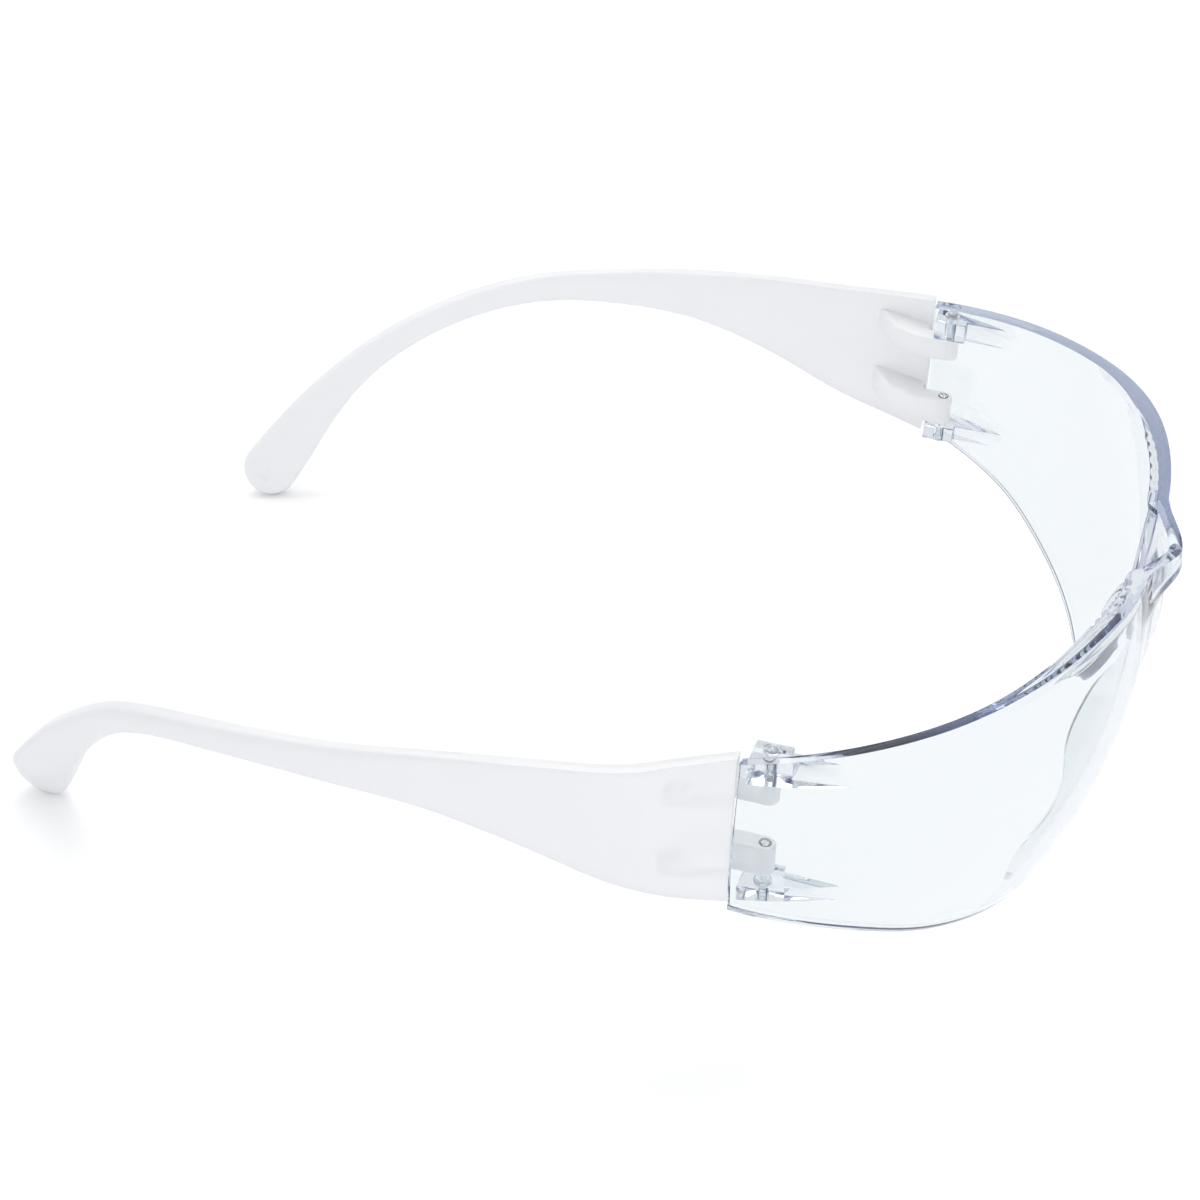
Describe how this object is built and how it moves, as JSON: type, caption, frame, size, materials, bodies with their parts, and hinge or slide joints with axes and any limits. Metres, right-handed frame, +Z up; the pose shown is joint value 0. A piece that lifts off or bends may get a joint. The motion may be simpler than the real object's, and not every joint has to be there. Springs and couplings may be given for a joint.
{
  "type": "safety glasses",
  "caption": "Wraparound clear safety glasses: a one-piece lens shield with bridge and nose pads, and milky temples that fold on upright hinge pins.",
  "frame": {"origin": "on the table, under the middle of the glasses as they stand open on the lens edge and the temple tips", "axes": "+X towards the wearer's left, +Y from the lens back towards the temple tips, +Z up"},
  "size_m": [0.1472, 0.1854, 0.0501],
  "materials": {
    "clear_lens": "clear moulded polycarbonate, polished, with a faint blue edge tint",
    "milky_temple": "milky translucent moulded polycarbonate, satin",
    "hinge_pin": "clear moulded plastic"
  },
  "bodies": {
    "shield": {"lens_shield": "clear_lens", "right_upper_hinge_pin": "hinge_pin", "right_lower_hinge_pin": "hinge_pin", "left_upper_hinge_pin": "hinge_pin", "left_lower_hinge_pin": "hinge_pin"},
    "right_temple_arm": {"right_temple": "milky_temple"},
    "left_temple_arm": {"left_temple": "milky_temple"}
  },
  "joints": [
    {"name": "right_temple_fold", "type": "hinge", "parent": "shield", "child": "right_temple_arm", "pos_m": [-0.0622, -0.04285, 0.02988], "axis": [0, 0.0837, -0.9965], "range_deg": [0, 88]},
    {"name": "left_temple_fold", "type": "hinge", "parent": "shield", "child": "left_temple_arm", "pos_m": [0.0622, -0.04285, 0.02988], "axis": [0, -0.0837, 0.9965], "range_deg": [0, 76]}
  ]
}
